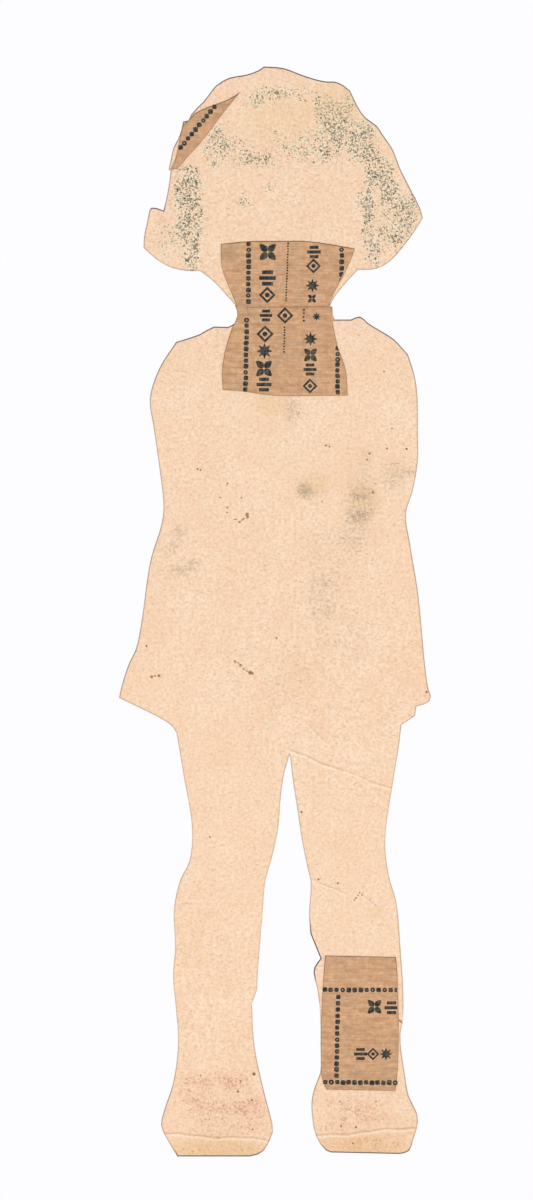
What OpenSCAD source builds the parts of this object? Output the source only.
// Cut-out paper doll, seen in the X and Z plane with its bare back towards -Y.
// The card is one ply, divided by two tears and three creases, and mended on the back with pasted paper.

/* [Card] */
// Thickness of the pulp card
card_t = 0.4; // [0.25:0.01:0.8]
// Gap across a tear
tear_gap = 0.1; // [0.04:0.01:0.3]
// Height of the ragged teeth along a tear
tear_tooth = 0.3; // [0:0.05:0.6]
// Length of card between two teeth
tooth_pitch = 1.7; // [1:0.1:4]
// Gap along a crease
crease_gap = 0.05; // [0.02:0.01:0.2]
// Longest straight step along a curved edge
curve_step = 1.8; // [0.8:0.1:4]

/* [Head] */
// Width over the hair
head_w = 55.9; // [50:0.1:64]
// Height from the torn neck to the crown
head_h = 47.8; // [42:0.1:56]
// Width of the neck at its tear
neck_w = 19.1; // [16:0.1:22]
// Distance of the neck's middle from the doll's middle line
neck_x = 1.55; // [0:0.05:3]

/* [Body] */
// Width over the hem
body_w = 62.4; // [56:0.1:72]
// Height from the hem to the torn neck
trunk_h = 85.5; // [76:0.1:96]
// Height from the soles to the hem
leg_h = 84.7; // [76:0.1:96]

/* [Tears and creases] */
// Height of the thigh crease at the middle of the leg
thigh_z = 77.2; // [66:0.1:80]
// Slope of the thigh crease
thigh_slope = -20.3; // [-24:0.1:-6]
// Height of the ankle tear at the middle of the leg
ankle_z = 28.5; // [24:0.1:34]
// Slope of the ankle tear
ankle_slope = -7.2; // [-12:0.1:4]
// Height of the left sole crease at the middle of the foot
left_sole_z = 3.8; // [2.5:0.1:6]
// Slope of the left sole crease
left_sole_slope = -3; // [-6:0.1:6]
// Height of the right sole crease at the middle of the foot
right_sole_z = 4.8; // [3:0.1:7]
// Slope of the right sole crease
right_sole_slope = 4.8; // [-6:0.1:6]

/* [Mending paper] */
// Thickness of the mending paper
patch_t = 0.1; // [0.05:0.01:0.25]
// Thickness of the dried paste
paste_t = 0.03; // [0.02:0.01:0.1]
// Dry rim of a patch, outside its paste
paste_rim = 0.4; // [0.1:0.1:1]
// Gap between the two halves of a patch at its fold
fold_gap = 0.05; // [0.02:0.01:0.2]
// Dry band beside a fold, where the paper is free to bend
fold_dry = 0.5; // [0.2:0.1:1.5]
// Height of the neck patch above its fold
neck_patch_up = 12.9; // [8:0.1:18]
// Height of the neck patch below its fold
neck_patch_down = 18.1; // [8:0.1:24]
// Distance of the neck strip below the fold
strip_drop = 0.3; // [0.2:0.1:2]
// Height of the neck strip
strip_h = 3.4; // [2:0.1:6]
// Width of the ankle patch
ankle_patch_w = 15.3; // [11:0.1:16]
// Height of the ankle patch above its fold
ankle_patch_up = 11.7; // [6:0.1:16]
// Height of the ankle patch below its fold
ankle_patch_down = 15.4; // [8:0.1:18]

/* [Hidden] */

card_colour = "#F6D9B8";
kraft_colour = "#CBA27A";
paste_colour = "#E9DFC9";

// Layers from the printed front at +Y to the outer face of the neck strip
stack_t = card_t + 2 * (paste_t + patch_t);
card_front = stack_t / 2;
paste_front = card_front - card_t;
patch_front = paste_front - paste_t;
strip_paste_front = patch_front - patch_t;
strip_front = strip_paste_front - paste_t;

// Heights of the hem and of the neck tear, and the ends of that tear
hem_z = leg_h;
neck_z = leg_h + trunk_h;
neck_l = neck_x - neck_w / 2;
neck_r = neck_x + neck_w / 2;

// Sizes for which the outlines below are drawn
head_drawn = [55.9, 47.8];
trunk_drawn = [62.4, 85.5];
leg_drawn = [62.4, 84.7];
neck_patch_drawn = [19.1, 12.9, 18.1];
strip_drawn = [19.1, 3.4];
ankle_patch_drawn = [15.3, 11.7, 15.4];

// Places along X of the slit between the legs and of the middles of the legs and feet, drawn and real
slit_drawn = 2.9;
thigh_drawn = 13.1;
ankle_drawn = 17.2;
left_foot_drawn = -11.7;
right_foot_drawn = 18.3;
slit_x = slit_drawn * body_w / leg_drawn[0];
thigh_x = thigh_drawn * body_w / leg_drawn[0];
ankle_x = ankle_drawn * body_w / leg_drawn[0];
left_foot_x = left_foot_drawn * body_w / leg_drawn[0];
right_foot_x = right_foot_drawn * body_w / leg_drawn[0];

// A distance beyond every edge of the doll
beyond = body_w + head_w + head_h + trunk_h + leg_h;

// Outline of the head as [x, height above the tear], from the left of the neck over the crown to the right.
// Each run is one snip of the scissors: a smooth curve through its points, with corners where runs meet.
jaw_left = [[-9.6, 1.9], [-12.4, 4.9], [-15, 6.9]];
curl_left_under = [[-15, 6.9], [-17.4, 6.9], [-20.6, 7.5], [-23.8, 9.3], [-26.3, 11.5]];
curl_left_side = [[-26.3, 11.5], [-26.2, 13.8], [-25.6, 16.7], [-25.1, 19.1]];
curl_left_top = [[-25.1, 19.1], [-24.7, 19.6], [-23.6, 19.5], [-22.3, 19]];
hair_left = [[-22.3, 19], [-21.6, 22.1], [-21.1, 25.1], [-20.9, 26.9]];
hair_tear = [[-20.9, 26.9], [-19.7, 28.2], [-18.2, 30.4], [-16.8, 33.2], [-16.4, 35.4], [-17.3, 37]];
crown_left = [
    [-17.3, 37], [-16.8, 38.2], [-14.4, 40.7], [-13, 42.5], [-11.8, 44], [-9, 45.6], [-6, 46.1],
    [-3.4, 47], [-2.2, 47.8]
];
crown_right = [[-2.2, 47.8], [1.6, 47.5], [6, 45.9], [10.2, 44.8], [11.8, 44.8], [13.6, 44.1], [15, 43]];
hair_right = [
    [15, 43], [17.2, 38.7], [18.2, 37.5], [20.4, 35.9], [21.6, 34.1], [23.6, 31.1], [25, 27.5],
    [26.8, 23.9], [29.2, 19], [29.6, 17.5]
];
curl_right_under = [[29.6, 17.5], [28, 14.9], [25.2, 11.2], [23, 8.8], [20.2, 7.3], [16.6, 7.1]];
jaw_right = [[16.6, 7.1], [14, 4.3], [11.5, 1]];

// Outer edge of the hair's torn sliver
sliver_edge = [[-21.3, 27.1], [-20.8, 29.5], [-20.3, 31.6], [-19.4, 33.3], [-18.7, 35.3], [-18.4, 36.8]];

// Outline of the trunk as [x, height above the hem], down the right side and then up the left
neck_corner_right = [11.8, 82.7];
shoulder_right = [[11.8, 82.7], [15.2, 82.7]];
upper_arm_right = [[15.2, 82.7], [17, 83.3], [18.6, 82], [21.2, 80.4], [23.6, 78.9], [26.6, 75.7]];
side_right = [
    [26.6, 75.7], [27.8, 72], [28.4, 68.6], [28.6, 59.6], [28.6, 54.6], [27.5, 48.2], [26.2, 44],
    [27, 38], [28.6, 28.2], [30.1, 13], [30.7, 8.8], [31.2, 7.4]
];
hem_right = [[31.2, 7.4], [30.9, 6.3], [28.3, 5.3]];
hem_step_right = [[28.3, 5.3], [28, 3.4]];
hem_corner_right = [[28, 3.4], [25.3, 1.6]];
hem_left = [[-19.7, 0], [-20.4, 1.1], [-22, 2.4], [-25.6, 4.3], [-31.2, 7]];
side_left = [
    [-31.2, 7], [-30.9, 8.6], [-29.1, 14.2], [-27.9, 16.6], [-27, 20.6], [-24.8, 35], [-22.7, 41.8],
    [-22.3, 45], [-23, 52], [-24.4, 61.8], [-25.1, 66.6], [-24.4, 69.8], [-22.8, 73.6], [-19.8, 78.2]
];
shoulder_left = [[-19.8, 78.2], [-15, 79.8], [-12.2, 81.3], [-9.4, 81.2], [-7.6, 82.3]];
neck_corner_left = [-7.6, 82.3];
// Narrowest place of the neck, from the left end of its tear
neck_hollow = [0.5, -2.1];

// Outline of the legs as [x, height above the soles], down the right leg and up the left
leg_right_outer = [
    [24.9, 82.9], [23.4, 73.4], [22.1, 64.2], [22.2, 59.9], [23, 55.3], [24.2, 51.3], [25.1, 41.7],
    [25.7, 31.3], [25.5, 26.6], [25.1, 24.5], [26, 16.3], [26.8, 12], [28.3, 8.9], [28.6, 7.1], [27.7, 3.5]
];
toe_right_outer = [[27.7, 3.5], [26.8, 1.1], [25, 0.5]];
sole_right = [[25, 0.5], [11.2, 0.8]];
foot_right_inner = [
    [11.2, 0.8], [10.2, 1.2], [8.2, 4], [7.5, 7.3], [7.3, 11.1], [8, 14.1], [9, 16.7], [9.1, 22.3],
    [9, 28.9], [8.4, 33.7], [7.7, 36.9], [7.9, 37.9], [9.1, 39.6]
];
sock_top_right = [[9.1, 39.6], [7.1, 44.5]];
leg_right_inner = [
    [7.1, 44.5], [6.8, 48.3], [7.1, 54.9], [6.4, 58.1], [5.3, 63.7], [4.4, 69.9], [3.6, 74.9], [3.05, 79.7]
];
crotch = [[3.05, 79.7], [2.9, 80.2], [2.75, 79.7]];
leg_left_inner = [
    [2.75, 79.7], [1.9, 76.9], [1.2, 72.3], [0.6, 65.3], [-1, 58.3], [-1.8, 55.7], [-2.5, 48.3],
    [-3.5, 35.3], [-3.6, 33.3], [-4.6, 30.7]
];
foot_left_inner = [[-4.6, 30.7], [-4.1, 22.3], [-2, 12.3], [-0.8, 7.7], [-0.4, 4.9], [-1.1, 3.3]];
toe_left_inner = [[-1.1, 3.3], [-2.3, 1.1], [-3.4, 0.4], [-5, 0]];
sole_left = [[-5, 0], [-19.5, 0]];
leg_left_outer = [
    [-19.5, 0], [-22, 4.2], [-22.8, 6.3], [-22.4, 8.5], [-20.4, 14.7], [-19.4, 22.7], [-19.9, 30.3],
    [-20.4, 36.1], [-20, 41.7], [-20.2, 49.7], [-18.9, 55.5], [-17.2, 58.9], [-16.6, 65.3], [-18.3, 76.3],
    [-19.7, 84.7]
];

// Outline of the neck patch as [x from the neck's middle, height above its fold]
neck_patch_top = [[-12.4, 12.3], [-7.5, 12.8], [-0.5, 12.9], [5.5, 12.8], [14.4, 11.4]];
neck_patch_right = [
    [14.4, 11.4], [14.1, 10.3], [12, 5.7], [9.6, 1.1], [9.3, 0], [9.9, -3.2], [11.1, -8.5], [12.6, -12.9],
    [13, -18]
];
neck_patch_bottom = [[13, -18], [5.5, -18.1], [-0.5, -18.1], [-4.1, -17.8], [-8, -17.2], [-12, -16.9]];
neck_patch_left = [
    [-12, -16.9], [-12.2, -13.5], [-11.7, -9.7], [-10.1, -4.4], [-9.1, -2.1], [-9.3, 0], [-10.7, 3.5],
    [-12.2, 7.6], [-12.4, 12.3]
];

// Outline of the neck strip as [x from the neck's middle, height above its top edge]
strip_edge = [[-7.3, 0], [9.9, 0.1], [10, -1.6], [10.4, -2.4], [9.9, -3.3], [-6.4, -3.4], [-6.8, -1.4]];

// Outline of the ankle patch as [x from the ankle's middle, height above its fold]
ankle_patch_right = [[7, 11.4], [7.3, 7.8], [7.3, -12], [6.9, -15.4]];
ankle_patch_left = [[-6.9, -15.1], [-7.6, -13.8], [-8, -11], [-8, -5], [-7.8, 3], [-7.2, 11.7]];

// Outline of the hair patch, drawn as the head is
hair_patch_top = [[-6.9, 42.7], [-9.4, 41.2], [-13.6, 39.6], [-16.2, 38.3], [-17.2, 37.2]];
hair_patch_side = [[-17.2, 37.2], [-18.3, 36.2], [-18.8, 34.4], [-19.6, 30.6], [-20.2, 28.6], [-20.9, 27.3]];
hair_patch_under = [
    [-20.9, 27.3], [-19.7, 27.3], [-17.6, 29.6], [-15, 32.4], [-12.8, 35.2], [-10.2, 38.7], [-6.9, 42.7]
];

// Drawn points placed on the doll at its real sizes
function on_head(run) = [
    for (p = run) [p[0] * head_w / head_drawn[0], neck_z + p[1] * head_h / head_drawn[1]]
];
function on_trunk(run) = [
    for (p = run) [p[0] * body_w / trunk_drawn[0], hem_z + p[1] * trunk_h / trunk_drawn[1]]
];
function on_legs(run) = [
    for (p = run) [p[0] * body_w / leg_drawn[0], p[1] * leg_h / leg_drawn[1]]
];
function on_neck_patch(run) = [
    for (p = run) let (
        rise = p[1] > 0 ? neck_patch_up / neck_patch_drawn[1] : neck_patch_down / neck_patch_drawn[2]
    ) [neck_x + p[0] * neck_w / neck_patch_drawn[0], neck_z + p[1] * rise]
];
function on_strip(run) = [
    for (p = run) [
        neck_x + p[0] * neck_w / strip_drawn[0],
        neck_z - strip_drop + p[1] * strip_h / strip_drawn[1]
    ]
];
function on_ankle_patch(run) = [
    for (p = run) let (
        rise = p[1] > 0 ? ankle_patch_up / ankle_patch_drawn[1] : ankle_patch_down / ankle_patch_drawn[2]
    ) [ankle_x + p[0] * ankle_patch_w / ankle_patch_drawn[0], ankle_z + p[1] * rise]
];

// Smooth curve through the points of a run, up to but not including its last point
function unit(v) = v / norm(v);
function heading(run, i) =
    i == 0 ? unit(run[1] - run[0])
    : i == len(run) - 1 ? unit(run[i] - run[i - 1])
    : unit(unit(run[i] - run[i - 1]) + unit(run[i + 1] - run[i]));
function between(a, b, from, to, t) =
    let (chord = norm(b - a), u = 1 - t)
    a * u * u * (1 + 2 * t) + b * t * t * (3 - 2 * t) + chord * t * u * (from * u - to * t);
function snip(run) = [
    for (i = [0 : len(run) - 2])
    let (a = run[i], b = run[i + 1], steps = len(run) == 2 ? 1 : ceil(norm(b - a) / curve_step))
    for (k = [0 : steps - 1])
    between(a, b, heading(run, i), heading(run, i + 1), k / steps)
];

// Points moved towards the middle of their outline by a rim
function inset(points, rim) =
    let (middle = [for (p = points) 1] * points / len(points))
    [for (p = points) p + rim * unit(middle - p)];

// Height of a sloping line at a place along X
function line_z(x, line_x, z, slope) = z + (x - line_x) * tan(slope);
// A straight edge along a crease, and a ragged edge along a tear, from one X to another
function crease_edge(x0, x1, line_x, z, slope, shift) = [
    for (x = [x0, x1]) [x, line_z(x, line_x, z, slope) + shift]
];
function tear_edge(x0, x1, line_x, z, slope, shift) =
    let (teeth = ceil((x1 - x0) / tooth_pitch))
    [
        for (k = [0 : teeth])
        let (x = x0 + (x1 - x0) * k / teeth, tooth = k % teeth == 0 ? 0 : tear_tooth * sin(k * 137))
        [x, line_z(x, line_x, z, slope) + tooth + shift]
    ];

// The whole doll as it was cut out, and the shapes of its mending papers
neck_side_left = concat(
    on_trunk([neck_corner_left]), [[neck_l, neck_z] + neck_hollow, [neck_l, neck_z]], on_head(jaw_left)
);
neck_side_right = concat(on_head(jaw_right), [[neck_r, neck_z]], on_trunk([neck_corner_right]));
hip_right = concat(on_trunk([hem_corner_right[1]]), on_legs(leg_right_outer));
doll_outline = concat(
    snip(neck_side_left),
    [for (run = [
        curl_left_under, curl_left_side, curl_left_top, hair_left, hair_tear, crown_left, crown_right,
        hair_right, curl_right_under
    ]) each snip(on_head(run))],
    snip(neck_side_right),
    [for (run = [shoulder_right, upper_arm_right, side_right, hem_right, hem_step_right, hem_corner_right])
        each snip(on_trunk(run))],
    snip(hip_right),
    [for (run = [
        toe_right_outer, sole_right, foot_right_inner, sock_top_right, leg_right_inner, crotch,
        leg_left_inner, foot_left_inner, toe_left_inner, sole_left, leg_left_outer
    ]) each snip(on_legs(run))],
    [for (run = [hem_left, side_left, shoulder_left]) each snip(on_trunk(run))]
);
hair_sliver_outline = concat(
    snip(on_head(sliver_edge)),
    on_head([sliver_edge[len(sliver_edge) - 1]]),
    [for (i = [len(hair_tear) - 1 : -1 : 0]) on_head(hair_tear)[i] - [tear_gap, 0]]
);
neck_patch_outline = [
    for (run = [neck_patch_top, neck_patch_right, neck_patch_bottom, neck_patch_left])
    each snip(on_neck_patch(run))
];
ankle_patch_outline = concat(
    snip(on_ankle_patch(ankle_patch_right)),
    on_ankle_patch([ankle_patch_right[len(ankle_patch_right) - 1]]),
    snip(on_ankle_patch(ankle_patch_left)),
    on_ankle_patch([ankle_patch_left[len(ankle_patch_left) - 1]])
);
hair_patch_outline = [
    for (run = [hair_patch_top, hair_patch_side, hair_patch_under]) each snip(on_head(run))
];

// The side of an edge that lies above it or below it, without end
module above(edge) {
    last = edge[len(edge) - 1];
    polygon(concat(edge, [[last[0], beyond], [edge[0][0], beyond]]));
}
module below(edge) {
    last = edge[len(edge) - 1];
    polygon(concat(edge, [[last[0], -beyond], [edge[0][0], -beyond]]));
}

// Sides of the tears and creases, each moved off its line by a shift
module above_neck_tear(shift) {
    above(concat(
        [[-beyond, neck_z + shift]],
        tear_edge(neck_l - tooth_pitch, neck_r + tooth_pitch, neck_x, neck_z, 0, shift),
        [[beyond, neck_z + shift]]
    ));
}
module below_thigh_crease(side, shift) {
    below(crease_edge(slit_x - side, beyond, thigh_x, thigh_z, thigh_slope, shift));
}
module below_ankle_tear(shift) {
    below(tear_edge(slit_x, slit_x + body_w / 2, ankle_x, ankle_z, ankle_slope, shift));
}
module below_left_crease(shift) {
    below(crease_edge(-beyond, slit_x, left_foot_x, left_sole_z, left_sole_slope, shift));
}
module below_right_crease(shift) {
    below(crease_edge(slit_x, beyond, right_foot_x, right_sole_z, right_sole_slope, shift));
}

// A flat sheet of the shape given, from its front face back through its thickness
module sheet(front, t) {
    translate([0, front, 0]) rotate([90, 0, 0]) linear_extrude(height = t) children();
}

// Card
module head_card() {
    color(card_colour) sheet(card_front, card_t) intersection() {
        polygon(doll_outline);
        above_neck_tear(tear_gap / 2);
    }
}
module hair_sliver() {
    color(card_colour) sheet(card_front, card_t) polygon(hair_sliver_outline);
}
module body_card() {
    color(card_colour) sheet(card_front, card_t) difference() {
        polygon(doll_outline);
        above_neck_tear(-tear_gap / 2);
        below_thigh_crease(crease_gap / 2, crease_gap / 2);
        below_left_crease(crease_gap / 2);
    }
}
module right_leg_card() {
    color(card_colour) sheet(card_front, card_t) difference() {
        intersection() {
            polygon(doll_outline);
            below_thigh_crease(-crease_gap / 2, -crease_gap / 2);
        }
        below_ankle_tear(tear_gap / 2);
    }
}
module right_foot_card() {
    color(card_colour) sheet(card_front, card_t) difference() {
        intersection() {
            polygon(doll_outline);
            below_ankle_tear(-tear_gap / 2);
        }
        below_right_crease(crease_gap / 2);
    }
}
module left_sole_tab() {
    color(card_colour) sheet(card_front, card_t) intersection() {
        polygon(doll_outline);
        below_left_crease(-crease_gap / 2);
    }
}
module right_sole_tab() {
    color(card_colour) sheet(card_front, card_t) intersection() {
        polygon(doll_outline);
        below_right_crease(-crease_gap / 2);
    }
}

// Halves of the neck and ankle mends, cut straight along their folds
module neck_half_upper(outline, off) {
    intersection() {
        polygon(outline);
        above(crease_edge(-beyond, beyond, neck_x, neck_z, 0, off));
    }
}
module neck_half_lower(outline, off) {
    intersection() {
        polygon(outline);
        below(crease_edge(-beyond, beyond, neck_x, neck_z, 0, -off));
    }
}
module ankle_half_upper(outline, off) {
    intersection() {
        polygon(outline);
        above(crease_edge(-beyond, beyond, ankle_x, ankle_z, ankle_slope, off));
    }
}
module ankle_half_lower(outline, off) {
    intersection() {
        polygon(outline);
        below(crease_edge(-beyond, beyond, ankle_x, ankle_z, ankle_slope, -off));
    }
}

// Mending paper
module neck_patch_upper() {
    color(kraft_colour) sheet(patch_front, patch_t) neck_half_upper(neck_patch_outline, fold_gap / 2);
}
module neck_patch_lower() {
    color(kraft_colour) sheet(patch_front, patch_t) neck_half_lower(neck_patch_outline, fold_gap / 2);
}
module neck_strip() {
    color(kraft_colour) sheet(strip_front, patch_t) polygon(on_strip(strip_edge));
}
module hair_patch() {
    color(kraft_colour) sheet(patch_front, patch_t) polygon(hair_patch_outline);
}
module ankle_patch_upper() {
    color(kraft_colour) sheet(patch_front, patch_t) ankle_half_upper(ankle_patch_outline, fold_gap / 2);
}
module ankle_patch_lower() {
    color(kraft_colour) sheet(patch_front, patch_t) ankle_half_lower(ankle_patch_outline, fold_gap / 2);
}

// Paste
module neck_paste_upper() {
    color(paste_colour) sheet(paste_front, paste_t)
        neck_half_upper(inset(neck_patch_outline, paste_rim), fold_dry);
}
module neck_paste_lower() {
    color(paste_colour) sheet(paste_front, paste_t)
        neck_half_lower(inset(neck_patch_outline, paste_rim), fold_dry);
}
module strip_paste() {
    color(paste_colour) sheet(strip_paste_front, paste_t) polygon(inset(on_strip(strip_edge), paste_rim));
}
module hair_paste() {
    color(paste_colour) sheet(paste_front, paste_t) polygon(inset(hair_patch_outline, paste_rim));
}
module ankle_paste_upper() {
    color(paste_colour) sheet(paste_front, paste_t)
        ankle_half_upper(inset(ankle_patch_outline, paste_rim), fold_dry);
}
module ankle_paste_lower() {
    color(paste_colour) sheet(paste_front, paste_t)
        ankle_half_lower(inset(ankle_patch_outline, paste_rim), fold_dry);
}

head_card();
hair_sliver();
body_card();
right_leg_card();
right_foot_card();
left_sole_tab();
right_sole_tab();
neck_patch_upper();
neck_patch_lower();
neck_strip();
hair_patch();
ankle_patch_upper();
ankle_patch_lower();
neck_paste_upper();
neck_paste_lower();
strip_paste();
hair_paste();
ankle_paste_upper();
ankle_paste_lower();
